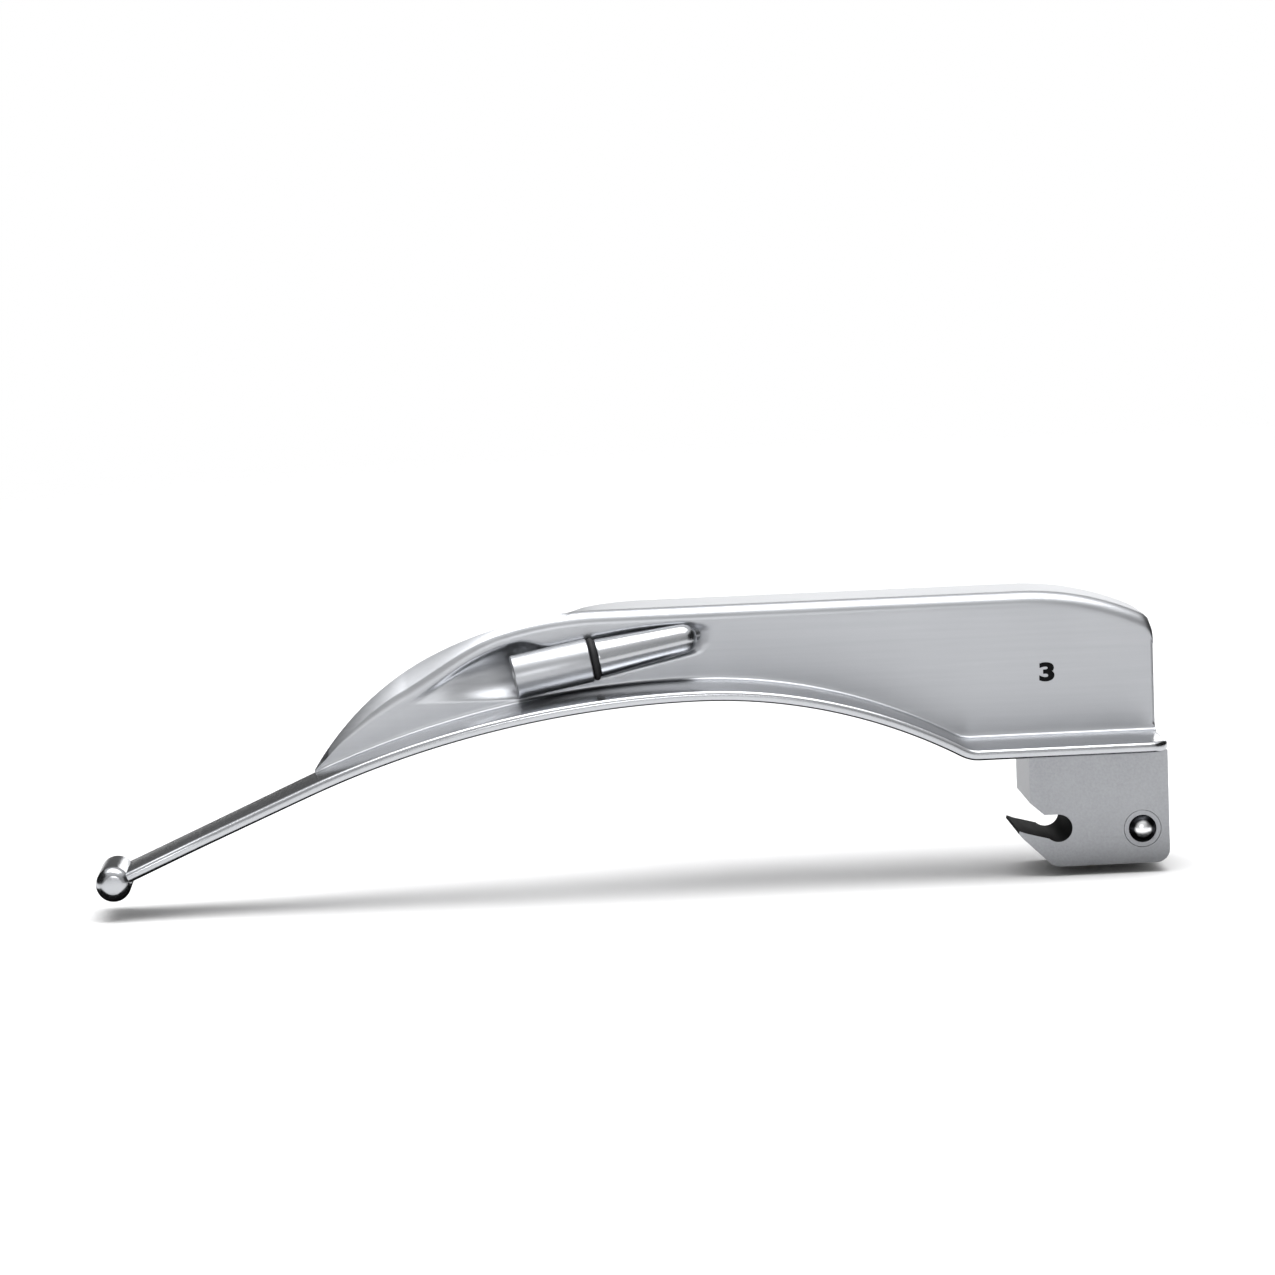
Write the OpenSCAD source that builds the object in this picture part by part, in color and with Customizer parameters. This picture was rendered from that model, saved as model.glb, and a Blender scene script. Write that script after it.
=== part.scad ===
// Curved laryngoscope blade, size 3, with a hook-on heel, a bulb lamp and two sprung detent balls.
//
// The frame: the origin is the centre of the hook's pin seat, halfway across the heel.
// +X runs from the tip to the back of the heel, +Z away from the handle, and -Y is the side
// that the blade's channel and the lamp face. The handle would stand below, along -Z.

/* [Blade] */
// Length from the tip bead to the back of the heel
overall_len = 130.8; // [126:0.2:132]
// Thickness of the tongue plate
plate_t = 1.3; // [1.1:0.1:1.6]
// Thickness of the pressed web and flange
sheet_t = 1.2; // [1:0.1:1.4]
// Height of the flange's top above the pin seat
flange_z = 28.1; // [27.7:0.1:28.5]
// Depth of the flange, measured from the web's near face
flange_depth = 10.2; // [8:0.2:11]
// Width of the tongue plate at the heel
plate_w = 12.3; // [11.5:0.1:13]
// Width of the tongue plate at the tip
tip_w = 9.6; // [9:0.1:11]
// Radius of the tip bead
bead_r = 2.15; // [1.8:0.05:2.3]

/* [Curve] */
// Slope of the straight tip
tip_slope = 23; // [22:0.5:25]
// Radius of the curve next to the tip
distal_r = 122; // [115:1:130]
// Radius of the curve next to the heel
proximal_r = 66; // [63:1:69]
// Steepest slope, where the curve meets the heel
heel_slope = 29; // [27:0.5:30]
// Radius of the small bend into the heel
heel_bend_r = 4; // [3:0.5:5]

/* [Heel] */
// Width of the heel block
heel_w = 12.6; // [12:0.1:13]
// Distance from the pin seat to the back face
heel_x = 13.6; // [13.4:0.1:14]
// Height of the tongue plate's middle above the pin seat
heel_z = 9.7; // [9.5:0.1:10]
// Radius of the hook's pin seat
seat_r = 1.7; // [1.6:0.05:1.75]
// Radius of the detent balls
ball_r = 2; // [1.9:0.05:2.1]
// How far a ball stands out of the heel's side
ball_out = 0.8; // [0.6:0.05:0.9]

/* [Lamp] */
// Radius of the lamp's shell
shell_r = 2.7; // [2.6:0.05:2.8]
// Length of the lamp's shell
shell_len = 9.6; // [9:0.1:10]
// Downward tilt of the lamp's axis
lamp_pitch = 10; // [8:0.5:11]
// Turn of the lamp's axis towards the channel
lamp_yaw = 3; // [2:0.5:4]
// Pitch of the lamp's screw thread
thread_pitch = 0.7; // [0.6:0.05:0.8]

/* [Hidden] */
$fn = 48;
eps = 0.01;

steel = [0.78, 0.79, 0.80];
satin_steel = [0.68, 0.69, 0.71];
brass = [0.80, 0.66, 0.36];
copper = [0.78, 0.45, 0.30];
black = [0.08, 0.08, 0.09];

// ---- Across the blade: the far faces of the plate and the web are flush ----
far_y = 3.9;
web_near_y = far_y - sheet_t;
plate_near_y = far_y - plate_w;
tip_far_y = 2.7;
tip_near_y = tip_far_y - tip_w;
flange_far_y = web_near_y + flange_depth;
half_w = heel_w / 2;

// ---- The tongue plate's middle line, from the heel to the tip ----
// phi is how steeply the line climbs on its way towards the tip.
bend_x = -9.6;
crown_slope = -0.2;
function towards_tip(phi) = [-cos(phi), sin(phi)];
function upwards(phi) = [sin(phi), cos(phi)];
bend_c = [bend_x, heel_z + heel_bend_r];
bend_end = bend_c - heel_bend_r * upwards(heel_slope);
proximal_c = bend_end - proximal_r * upwards(heel_slope);
crown = proximal_c + proximal_r * upwards(crown_slope);
distal_c = crown - distal_r * upwards(crown_slope);
distal_end = distal_c + distal_r * upwards(-tip_slope);
tip_x = heel_x - overall_len + bead_r;
straight_len = (distal_end[0] - tip_x) / cos(tip_slope);
bead_c = distal_end + straight_len * towards_tip(-tip_slope);

// Slopes in even steps from one to the other.
function slopes(from, to, steps) = [for (i = [0:steps]) from + (to - from) * i / steps];

// The line raised by off, square to itself, as a list of points in X and Z.
function plate_line(off) = concat(
    [[heel_x, heel_z + off]],
    [for (phi = slopes(0, heel_slope, 8)) bend_c - (heel_bend_r - off) * upwards(phi)],
    [for (phi = slopes(heel_slope, crown_slope, 22)) proximal_c + (proximal_r + off) * upwards(phi)],
    [for (phi = slopes(crown_slope, -tip_slope, 24)) distal_c + (distal_r + off) * upwards(phi)],
    [bead_c + off * upwards(-tip_slope)]);

function reversed(list) = [for (i = [len(list) - 1:-1:0]) list[i]];

// ---- The flange's top line, from the front foot to the back of the heel ----
front_r = 47;
front_c = [-54.5, flange_z - front_r];
foot_start = 31;
foot_r = 36;
foot_c = front_c + (front_r - foot_r) * [-sin(foot_start), cos(foot_start)];
rear_start_x = -2.46;
rear_drop = 25;
rear_r = 35;
corner_r = 2.2;
rear_c = [rear_start_x, flange_z - rear_r];
rear_end = rear_c + rear_r * [sin(rear_drop), cos(rear_drop)];
corner_c = rear_end - corner_r * [sin(rear_drop), cos(rear_drop)];
web_back_x = corner_c[0] + corner_r;

// The line lowered by off, square to itself.
function top_line(off) = concat(
    [for (a = slopes(61, foot_start, 16)) foot_c + (foot_r - off) * [-sin(a), cos(a)]],
    [for (a = slopes(foot_start, 0, 18)) front_c + (front_r - off) * [-sin(a), cos(a)]],
    [for (a = slopes(0, rear_drop, 12)) rear_c + (rear_r - off) * [sin(a), cos(a)]],
    [for (a = slopes(rear_drop, 90, 8)) corner_c + (corner_r - off) * [sin(a), cos(a)]]);

// ---- The lamp's axis: +Z of its own frame points forwards, out of the socket ----
lamp_seat = [-55.2, 1.1, 22.5];
lamp_turn = [0, -(90 + lamp_pitch), lamp_yaw];
lamp_dir = [-cos(lamp_pitch) * cos(lamp_yaw), -cos(lamp_pitch) * sin(lamp_yaw), -sin(lamp_pitch)];
function on_lamp_axis(s) = lamp_seat + s * lamp_dir;
module on_lamp() translate(lamp_seat) rotate(lamp_turn) children();

// Stations along the lamp's axis, forwards positive, from the socket's front face.
seal_t = 0.9;
shell_front = seal_t + shell_len;
spigot_r = 1.75;
spigot_len = 4.2;
spigot_back = seal_t - spigot_len;
socket_r = 2.4;
socket_tail_r = 1.85;
socket_tail = -11.4;
socket_bore_r = spigot_r + 0.06;
socket_bore_end = -4.8;

// ---- The heel's cross bore, contact and wire channel ----
ball_x = 10.3;
ball_z = -0.5;
ball_bore_r = ball_r + 0.05;
ball_y = half_w + ball_out - ball_r;
ring_t = 0.8;
ring_r = ball_r + 0.3;
heel_bottom = -4.75;
plate_under = heel_z - plate_t / 2;
contact_x = 4.6;
contact_r = 1.1;
contact_out = 1.2;
contact_top = 1.4;
bush_r = 1.85;
bush_top = 2.2;
channel_r = 0.95;
channel_z = 5.6;

// ---- The wire's tube, on the far side of the web ----
tube_r = 1;
tube_bore_r = 0.7;
tube_y = far_y + tube_r + 0.05;
insulation_r = 0.5;
conductor_r = 0.25;

// Round numbers along the wire's route, from the socket's far side to the contact.
tube_route = [on_lamp_axis(-11) + [0, 0.8, 0], [-41.3, 4.4, 24.75], [-36, tube_y, 24.8], [-27, tube_y, 23.6], [-17, tube_y, 20.8], [-8, tube_y, 17.2],
    [-1, tube_y, 14], [3.4, tube_y, 11.2], [contact_x, tube_y, 8.5]];
tube_end = [contact_x, tube_y, 6.8];
wire_end_route = [[contact_x, 4.7, 6], [contact_x, 3.8, channel_z], [contact_x, 2.2, channel_z],
    [contact_x, 1.1, channel_z - 0.1], [contact_x, 0.3, 4.9], [contact_x, 0, 4], [contact_x, 0, 3]];

// A smooth line through the points: each span is a Catmull-Rom curve of the given steps.
function spline_point(a, b, c, d, t) =
    0.5 * (2 * b + (c - a) * t + (2 * a - 5 * b + 4 * c - d) * t * t + (3 * b - a - 3 * c + d) * t * t * t);
function spline(p, steps) = concat(
    [for (i = [0:len(p) - 2])
        let (a = p[max(i - 1, 0)], b = p[i], c = p[i + 1], d = p[min(i + 2, len(p) - 1)])
        for (k = [0:steps - 1]) spline_point(a, b, c, d, k / steps)],
    [p[len(p) - 1]]);

// The ring of points round station i of a line. Both side directions turn with the line.
function unit(v) = v / norm(v);
function heading(line, i) =
    unit(line[min(i + 1, len(line) - 1)] - line[max(i - 1, 0)]);
function side_way(h) = unit(cross(h, [0.21, 0.33, 0.92]));
function ring(line, i, r, sides) =
    let (h = heading(line, i), u = side_way(h), v = cross(h, u))
    [for (k = [0:sides - 1]) line[i] + r * (cos(360 * k / sides) * u + sin(360 * k / sides) * v)];

// A solid rod along a line.
module rod_along(line, r, sides) {
    n = len(line);
    points = [for (i = [0:n - 1]) each ring(line, i, r, sides)];
    walls = [for (i = [0:n - 2], k = [0:sides - 1])
        let (a = i * sides + k, b = i * sides + (k + 1) % sides)
        each [[a, b, b + sides], [a, b + sides, a + sides]]];
    start = [[for (k = [sides - 1:-1:0]) k]];
    end = [[for (k = [0:sides - 1]) (n - 1) * sides + k]];
    polyhedron(points, concat(walls, start, end));
}

// A tube along a line: an outer skin, an inner skin and a ring at each end.
module tube_along(line, r, bore, sides) {
    n = len(line);
    inner = n * sides;
    points = concat([for (i = [0:n - 1]) each ring(line, i, r, sides)],
        [for (i = [0:n - 1]) each ring(line, i, bore, sides)]);
    walls = [for (i = [0:n - 2], k = [0:sides - 1])
        let (a = i * sides + k, b = i * sides + (k + 1) % sides)
        each [[a, b, b + sides], [a, b + sides, a + sides],
            [inner + a, inner + b + sides, inner + b], [inner + a, inner + a + sides, inner + b + sides]]];
    ends = [for (k = [0:sides - 1])
        let (k2 = (k + 1) % sides, last = (n - 1) * sides)
        each [[k, inner + k2, k2], [k, inner + k, inner + k2],
            [last + k, last + k2, inner + last + k2], [last + k, inner + last + k2, inner + last + k]]];
    polyhedron(points, concat(walls, ends));
}

tube_line = spline(concat([on_lamp_axis(-9.2)], tube_route, [tube_end]), 5);
wire_line = spline(concat([on_lamp_axis(-9.4)], tube_route, [tube_end], wire_end_route), 4);

// Turns an outline in X and Z into a slab from y0 to y1.
module slab(y0, y1) translate([0, y1, 0]) rotate([90, 0, 0]) linear_extrude(y1 - y0) children();

// ---- Blade ----
module plate_plan() {
    heel_corner = 2.5;
    polygon(concat(
        [[-115.5, tip_far_y], [-104, 3.3], [-80, far_y], [heel_x, far_y]],
        [for (a = slopes(0, 90, 8))
            [heel_x - heel_corner * (1 - cos(a)), plate_near_y + heel_corner * (1 - sin(a))]],
        [[-60, plate_near_y], [-85, plate_near_y + 0.7], [-104, tip_near_y + 0.6], [-115.5, tip_near_y]]));
}

module spatula() color(steel) difference() {
    intersection() {
        slab(plate_near_y - 1, far_y + 1)
            polygon(concat(plate_line(plate_t / 2), reversed(plate_line(-plate_t / 2))));
        translate([0, 0, -20]) linear_extrude(60) plate_plan();
    }
    translate([bead_c[0], far_y + 1, bead_c[1]]) rotate([90, 0, 0]) cylinder(h = 20, r = bead_r);
}

// The bead across the tip: a bar with domed ends.
module tip_bead() {
    dome = 0.9;
    middle = tip_w - 2 * dome + 1;
    color(steel)
        translate([bead_c[0], (tip_near_y + tip_far_y) / 2, bead_c[1]]) rotate([90, 0, 0])
        rotate_extrude() polygon(concat(
            [[0, -middle / 2 - dome]],
            [for (a = slopes(80, 0, 6)) [bead_r - dome + dome * cos(a), -middle / 2 - dome * sin(a)]],
            [for (a = slopes(0, 80, 6)) [bead_r - dome + dome * cos(a), middle / 2 + dome * sin(a)]],
            [[0, middle / 2 + dome]]));
}

module web_outline() difference() {
    polygon(concat(top_line(0), [[web_back_x, 0], [-95, 0]]));
    polygon(concat(plate_line(plate_t / 2), [[-120, -30], [60, -30], [60, heel_z + plate_t / 2]]));
}

module flange_plan() {
    front_x = -60;
    full_x = -49;
    corner = 3;
    polygon(concat(
        [[front_x, web_near_y], [front_x, far_y]],
        [for (t = [0.1:0.1:1]) [front_x + (full_x - front_x) * t, far_y + (flange_far_y - far_y) * sin(90 * t)]],
        [for (a = slopes(90, 0, 8))
            [web_back_x - corner * (1 - cos(a)), flange_far_y - corner * (1 - sin(a))]],
        [[web_back_x, web_near_y]]));
}

// The pressed pocket round the lamp, turned about a line that runs level with the web.
pocket_r = 3.2;
pocket_wall = 0.9;
pocket_front = 24;
module pocket(extra) {
    translate(lamp_seat) rotate([0, -(90 + lamp_pitch), 0]) rotate_extrude()
        polygon([[0, -0.6 - extra], [pocket_r + extra, -0.6 - extra], [pocket_r + extra, 10],
            [1.05 + extra, pocket_front], [0, pocket_front]]);
}

module web_and_flange() color(satin_steel) difference() {
    union() {
        slab(web_near_y, far_y) web_outline();
        intersection() {
            slab(web_near_y, flange_far_y + 1)
                polygon(concat(top_line(0), reversed(top_line(sheet_t))));
            translate([0, 0, 10]) linear_extrude(30) flange_plan();
        }
        intersection() {
            pocket(pocket_wall);
            slab(web_near_y + 0.2, flange_far_y - 1) web_outline();
        }
    }
    pocket(0);
    on_lamp() translate([0, 0, socket_tail]) cylinder(h = -socket_tail + eps, r1 = socket_tail_r, r2 = socket_r);
    on_lamp() translate([0, 0, socket_tail]) sphere(r = socket_tail_r);
    straight_room(on_lamp_axis(-9.2), tube_route[1], 1.32, 0.6);
    straight_room(tube_route[1], tube_route[2], 1.3, 1.5);
}

// Room for the wire's tube, which is nearly straight where it leaves the socket through the web.
module straight_room(from, to, r, spare) {
    way = to - from;
    translate(from) rotate([0, acos(way[2] / norm(way)), atan2(way[1], way[0])])
        translate([0, 0, -spare]) cylinder(h = norm(way) + 2 * spare, r = r);
}

// ---- Heel ----
hook_tip = [-4.8, -0.15];
module heel_outline() {
    corner = 1.6;
    upper_jaw = seat_r;
    difference() {
        polygon(concat(
            [[-3.4, plate_under], [-3.4, 3.2], [-1.7, upper_jaw], [0, upper_jaw], [0, -seat_r + 0.15],
                [-3.9, -0.5], hook_tip, [-4.9, -0.5], [-4.4, -1.1], [-0.9, -4.5], [-0.1, heel_bottom]],
            [for (a = slopes(90, 0, 6))
                [heel_x - corner * (1 - cos(a)), heel_bottom + corner * (1 - sin(a))]],
            [[heel_x, plate_under]]));
        circle(r = seat_r);
    }
}

module heel_block() color(steel) difference() {
    slab(-half_w, half_w) heel_outline();
    translate([ball_x, half_w + 1, ball_z]) rotate([90, 0, 0]) cylinder(h = heel_w + 2, r = ball_bore_r);
    for (side = [-1, 1])
        translate([ball_x, side * (half_w - ring_t / 2 + eps), ball_z]) rotate([90, 0, 0])
            cylinder(h = ring_t + 2 * eps, r = ring_r, center = true);
    translate([contact_x, 0, heel_bottom - 1]) cylinder(h = bush_top - heel_bottom + 1, r = bush_r);
    translate([contact_x, 0, 0]) cylinder(h = channel_z, r = channel_r);
    translate([contact_x, -channel_r, channel_z]) rotate([-90, 0, 0])
        cylinder(h = tube_y + channel_r, r = channel_r);
    translate([contact_x, tube_y, channel_z]) cylinder(h = 10, r = tube_r + 0.12);
}

module detent_ball(side) color(steel) translate([ball_x, side * ball_y, ball_z]) sphere(r = ball_r);
module detent_ball_near() detent_ball(-1);
module detent_ball_far() detent_ball(1);

// The ring that is staked over a ball. Its bore is a cone that the ball rests against.
module ball_ring(side) {
    mouth_r = 1.65;
    inner_r = 2.04;
    color(satin_steel) translate([ball_x, side * half_w, ball_z]) rotate([side * 90, 0, 0])
        rotate_extrude() polygon([[mouth_r, 0], [ring_r - 0.01, 0], [ring_r - 0.01, ring_t - 0.01],
            [inner_r, ring_t - 0.01]]);
}
module ball_ring_near() ball_ring(-1);
module ball_ring_far() ball_ring(1);

// The coil between the two balls.
module detent_spring() {
    coil_r = 1.35;
    coil_wire = 0.22;
    turns = 7;
    per_turn = 14;
    reach = 2 * (ball_y - 1.79);
    line = [for (i = [0:turns * per_turn])
        [ball_x + coil_r * cos(360 * i / per_turn), -reach / 2 + reach * i / (turns * per_turn),
            ball_z + coil_r * sin(360 * i / per_turn)]];
    color(steel) rod_along(line, coil_wire, 6);
}

module contact_pin() color(brass) translate([contact_x, 0, 0]) rotate_extrude() polygon(concat(
    [[0, heel_bottom - contact_out]],
    [for (a = slopes(75, 0, 8)) [contact_r * cos(a), heel_bottom - contact_out + 0.7 * (1 - sin(a))]],
    [[contact_r, contact_top - 1], [0.6, contact_top - 1], [0.6, 2.9], [0, 2.9]]));

module contact_insulator() color(black) translate([contact_x, 0, 0]) difference() {
    translate([0, 0, heel_bottom]) cylinder(h = bush_top - heel_bottom, r = bush_r - 0.01);
    translate([0, 0, heel_bottom - 1]) cylinder(h = contact_top - heel_bottom, r = contact_r + 0.01);
    translate([0, 0, heel_bottom]) cylinder(h = 10, r = 0.61);
}

// ---- Wire ----
module conduit_tube() color(steel) tube_along(tube_line, tube_r, tube_bore_r, 14);
module lead_insulation() color("ivory") tube_along(wire_line, insulation_r, conductor_r + 0.02, 8);
module lead_conductor() color(copper) rod_along(wire_line, conductor_r, 8);

// ---- Socket ----
module lamp_socket() color(steel) difference() {
    on_lamp() socket_body();
    straight_room(on_lamp_axis(-9.2), tube_route[1], 1.3, 0.62);
}
module socket_body() difference() {
    union() {
        translate([0, 0, socket_tail]) cylinder(h = -socket_tail, r1 = socket_tail_r - 0.01, r2 = socket_r - 0.01);
        intersection() {
            translate([0, 0, socket_tail]) sphere(r = socket_tail_r - 0.01);
            translate([0, 0, socket_tail - 1.2]) cylinder(h = 1.3, r = socket_tail_r - 0.01);
        }
    }
    translate([0, 0, socket_bore_end]) cylinder(h = 10, r = socket_bore_r);
    translate([0, 0, -8.4]) cylinder(h = 8, r = 1.3);
    translate([0, 0, -9.6]) cylinder(h = 3, r = 0.55);
}

module socket_insulator() color(black) on_lamp() difference() {
    translate([0, 0, -8.4]) cylinder(h = 3.5, r = 1.28);
    translate([0, 0, -10]) cylinder(h = 10, r = 0.5);
}

module socket_contact() color(brass) on_lamp() {
    translate([0, 0, -9.05]) cylinder(h = 4.3, r = 0.48);
    translate([0, 0, -9.25]) cylinder(h = 0.3, r = 0.2);
    translate([0, 0, -4.85]) cylinder(h = 0.9, r = 1.1);
}

// ---- Lamp ----
module seal_ring() color(black) on_lamp() rotate_extrude() polygon(concat(
    [[spigot_r + 0.03, 0.02], [2.4, 0.02]],
    [for (a = slopes(-60, 60, 6)) [2.35 + 0.25 * cos(a), seal_t / 2 + (seal_t / 2 - 0.05) * sin(a) / sin(60)]],
    [[2.4, seal_t - 0.02], [spigot_r + 0.03, seal_t - 0.02]]));

lamp_bore_r = 2.3;
lamp_bore_back = 3;
module lamp_shell() {
    root_r = spigot_r - 0.25;
    turns = 5;
    first = spigot_back + 0.25;
    thread = [for (i = [0:turns - 1]) each
        [[root_r, first + i * thread_pitch], [spigot_r, first + (i + 0.5) * thread_pitch]]];
    color(steel) on_lamp() rotate_extrude() polygon(concat(
        [[1, spigot_back], [root_r, spigot_back]], thread,
        [[root_r, first + turns * thread_pitch], [root_r, seal_t], [shell_r - 0.2, seal_t],
            [shell_r, seal_t + 0.2], [shell_r, shell_front - 0.3], [shell_r - 0.25, shell_front],
            [lamp_bore_r + 0.1, shell_front], [lamp_bore_r, shell_front - 0.2],
            [lamp_bore_r, lamp_bore_back], [1, lamp_bore_back]]));
}

// The glass: a tube closed at the back, with a thick lens in front.
module lamp_glass() {
    glass_r = lamp_bore_r - 0.03;
    wall = 0.35;
    lens_back = 8.4;
    lens_r = 3.4;
    lens_c = 6.75;
    rim = asin(glass_r / lens_r);
    color([0.9, 0.95, 1, 0.5]) on_lamp() difference() {
        rotate_extrude() polygon(concat(
            [[0, 3.9], [glass_r - 0.4, 3.9], [glass_r, 4.3]],
            [for (a = slopes(rim, 0, 8)) [lens_r * sin(a), lens_c + lens_r * cos(a)]]));
        translate([0, 0, 4.5]) cylinder(h = lens_back - 4.5, r = glass_r - wall);
        for (side = [-1, 1]) translate([side * 0.55, 0, 3.5]) cylinder(h = 2, r = 0.11);
    }
}

module lamp_bead() color([0.6, 0.8, 0.85]) on_lamp() difference() {
    translate([0, 0, 5.3]) cylinder(h = 0.7, r = 0.95);
    for (side = [-1, 1]) translate([side * 0.55, 0, 5]) cylinder(h = 2, r = 0.11);
}

module lamp_supports() color(satin_steel) on_lamp()
    for (side = [-1, 1]) translate([side * 0.55, 0, 3.2]) cylinder(h = 4.1, r = 0.1);

// The filament's coil, strung between the two supports.
module lamp_filament() {
    turns = 6;
    per_turn = 10;
    coil_r = 0.16;
    line = [for (i = [0:turns * per_turn])
        [-0.48 + 0.96 * i / (turns * per_turn), coil_r * cos(360 * i / per_turn),
            7.15 + coil_r * sin(360 * i / per_turn)]];
    color("dimgray") on_lamp() rod_along(line, 0.035, 6);
}

module lamp_cement() color("beige") on_lamp() difference() {
    translate([0, 0, lamp_bore_back + 0.01]) cylinder(h = 0.85, r = lamp_bore_r - 0.03);
    for (side = [-1, 1]) translate([side * 0.55, 0, 2]) cylinder(h = 3, r = 0.11);
}

module lamp_insulator() color(black) on_lamp() difference() {
    translate([0, 0, spigot_back - 0.2]) cylinder(h = 1, r = 0.98);
    translate([0, 0, spigot_back - 1]) cylinder(h = 3, r = 0.4);
}

module lamp_tip() color("silver") on_lamp() rotate_extrude() polygon(concat(
    [[0, spigot_back + 0.6], [0.38, spigot_back + 0.6], [0.38, spigot_back - 0.21], [0.7, spigot_back - 0.21]],
    [for (a = slopes(0, 90, 5)) [0.7 * cos(a), spigot_back - 0.21 - 0.4 * sin(a)]]));

module lamp_feed_wire() color(copper) on_lamp()
    translate([0, 0, spigot_back + 0.61]) cylinder(h = lamp_bore_back - spigot_back - 0.62, r = 0.12);

spatula();
tip_bead();
web_and_flange();
heel_block();
detent_ball_near();
detent_ball_far();
ball_ring_near();
ball_ring_far();
detent_spring();
contact_pin();
contact_insulator();
conduit_tube();
lead_insulation();
lead_conductor();
lamp_socket();
socket_insulator();
socket_contact();
seal_ring();
lamp_shell();
lamp_glass();
lamp_bead();
lamp_supports();
lamp_filament();
lamp_cement();
lamp_insulator();
lamp_tip();
lamp_feed_wire();
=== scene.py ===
# %% [markdown]
# # A curved laryngoscope blade
#
# The blade is the part that goes on a laryngoscope's handle. A long curved plate lifts the tongue,
# an upright web and flange hold it aside, and a small lamp lights the way. Most of it is stainless
# steel, so this lesson is mainly about edges and reflections: a polished edge is a thin bright
# line, and that line is what tells the eye how thick and how well finished the metal is.
#
# The measured model comes first. It carries the sizes and the moving bodies, and every piece made
# below takes its place from it.

import math

import bpy
from mathutils import Matrix, Vector


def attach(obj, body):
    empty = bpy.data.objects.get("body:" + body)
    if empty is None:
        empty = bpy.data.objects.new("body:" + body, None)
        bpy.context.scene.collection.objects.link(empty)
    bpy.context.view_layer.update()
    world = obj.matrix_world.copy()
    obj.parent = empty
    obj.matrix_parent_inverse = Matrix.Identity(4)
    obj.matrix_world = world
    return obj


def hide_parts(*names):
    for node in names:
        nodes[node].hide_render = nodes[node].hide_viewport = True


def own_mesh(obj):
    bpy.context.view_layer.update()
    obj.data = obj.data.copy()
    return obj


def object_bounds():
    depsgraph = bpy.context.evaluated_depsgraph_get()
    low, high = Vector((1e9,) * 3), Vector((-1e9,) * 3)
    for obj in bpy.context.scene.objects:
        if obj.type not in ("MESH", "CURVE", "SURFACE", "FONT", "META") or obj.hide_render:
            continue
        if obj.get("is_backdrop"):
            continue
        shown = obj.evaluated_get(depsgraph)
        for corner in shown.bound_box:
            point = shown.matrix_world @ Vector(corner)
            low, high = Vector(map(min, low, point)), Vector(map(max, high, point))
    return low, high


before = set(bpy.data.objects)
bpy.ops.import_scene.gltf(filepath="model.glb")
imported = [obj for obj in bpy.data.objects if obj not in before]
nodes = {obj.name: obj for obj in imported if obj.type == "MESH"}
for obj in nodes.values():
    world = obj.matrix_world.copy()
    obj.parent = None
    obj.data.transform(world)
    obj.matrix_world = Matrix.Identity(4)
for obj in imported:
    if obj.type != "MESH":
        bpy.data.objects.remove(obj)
cad_low, cad_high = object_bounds()
MM = 0.001
for material in list(bpy.data.materials):
    material.name = "measured_" + material.name


# %% [markdown]
# Everything is in metres, but a part of this size is easier to think about in millimetres, so
# `mm` turns a point in millimetres into Blender's metres. `take_one` clears the selection first:
# an operator acts on everything that is selected, and the loaded pieces arrive selected.

# %% Small helpers
def mm(*values):
    return tuple(v * MM for v in values)


def deselect():
    if bpy.context.mode != "OBJECT":
        bpy.ops.object.mode_set(mode="OBJECT")
    bpy.ops.object.select_all(action="DESELECT")


def take_one(piece):
    deselect()
    piece.select_set(True)
    bpy.context.view_layer.objects.active = piece


def settle(piece):
    """Leaves the object at the origin, with its place in its mesh."""
    take_one(piece)
    bpy.ops.object.transform_apply(location=True, rotation=True, scale=True)


def close_ends():
    """In edit mode: caps every open end, and turns all the faces outwards."""
    bpy.ops.mesh.select_all(action="DESELECT")
    bpy.ops.mesh.select_non_manifold(extend=False)
    bpy.ops.mesh.edge_face_add()
    bpy.ops.mesh.select_all(action="SELECT")
    bpy.ops.mesh.normals_make_consistent(inside=False)


def bevel(piece, width, segments=3, angle=40, harden=False):
    """Rounds every edge sharper than the angle, and applies the modifier."""
    take_one(piece)
    rounding = piece.modifiers.new("rounding", "BEVEL")
    rounding.width = width * MM
    rounding.segments = segments
    rounding.limit_method = "ANGLE"
    rounding.angle_limit = math.radians(angle)
    rounding.use_clamp_overlap = True
    rounding.harden_normals = harden
    bpy.ops.object.modifier_apply(modifier=rounding.name)


def smooth(piece, angle=35):
    take_one(piece)
    bpy.ops.object.shade_smooth_by_angle(angle=math.radians(angle))


def finish_piece(piece, name, body, slot, *stands_for):
    """Names the piece, hides the nodes it stands for and puts it on its body."""
    piece.name = piece.data.name = name
    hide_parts(*stands_for)
    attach(piece, body)
    print(f"{name}: {len(piece.data.polygons)} faces, on {body}")
    return piece


# %% [markdown]
# ## The tongue plate
#
# On the real blade this is one strip of thick sheet, bent round two large arcs and polished, with
# its near edge rounded over. Bending a strip is what Spin does: it turns a section about a centre
# and joins the copies. So the section starts as a thin rectangle at the heel, is extruded forwards
# to the first bend, spun round each arc in turn, and extruded along the straight tip.
#
# The arcs' centres and radii are the blade's own driving sizes, in millimetres.

# %% The line of the plate
HEEL_X, HEEL_Z, PLATE_T, BEND_X = 13.6, 9.7, 1.3, -9.6
FAR_Y, WEB_Y, NEAR_Y = 3.9, 2.7, -8.4
BEND_R, REAR_R, FRONT_R = 4.0, 66.0, 122.0
HEEL_SLOPE, CROWN_SLOPE, TIP_SLOPE = 29.0, -0.2, 23.0
TIP_X, BEAD_R = -115.05, 2.15


def rise(degrees):
    """The way up from the plate where it climbs towards the tip at this slope, as X and Z."""
    a = math.radians(degrees)
    return Vector((math.sin(a), 0, math.cos(a)))


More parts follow.
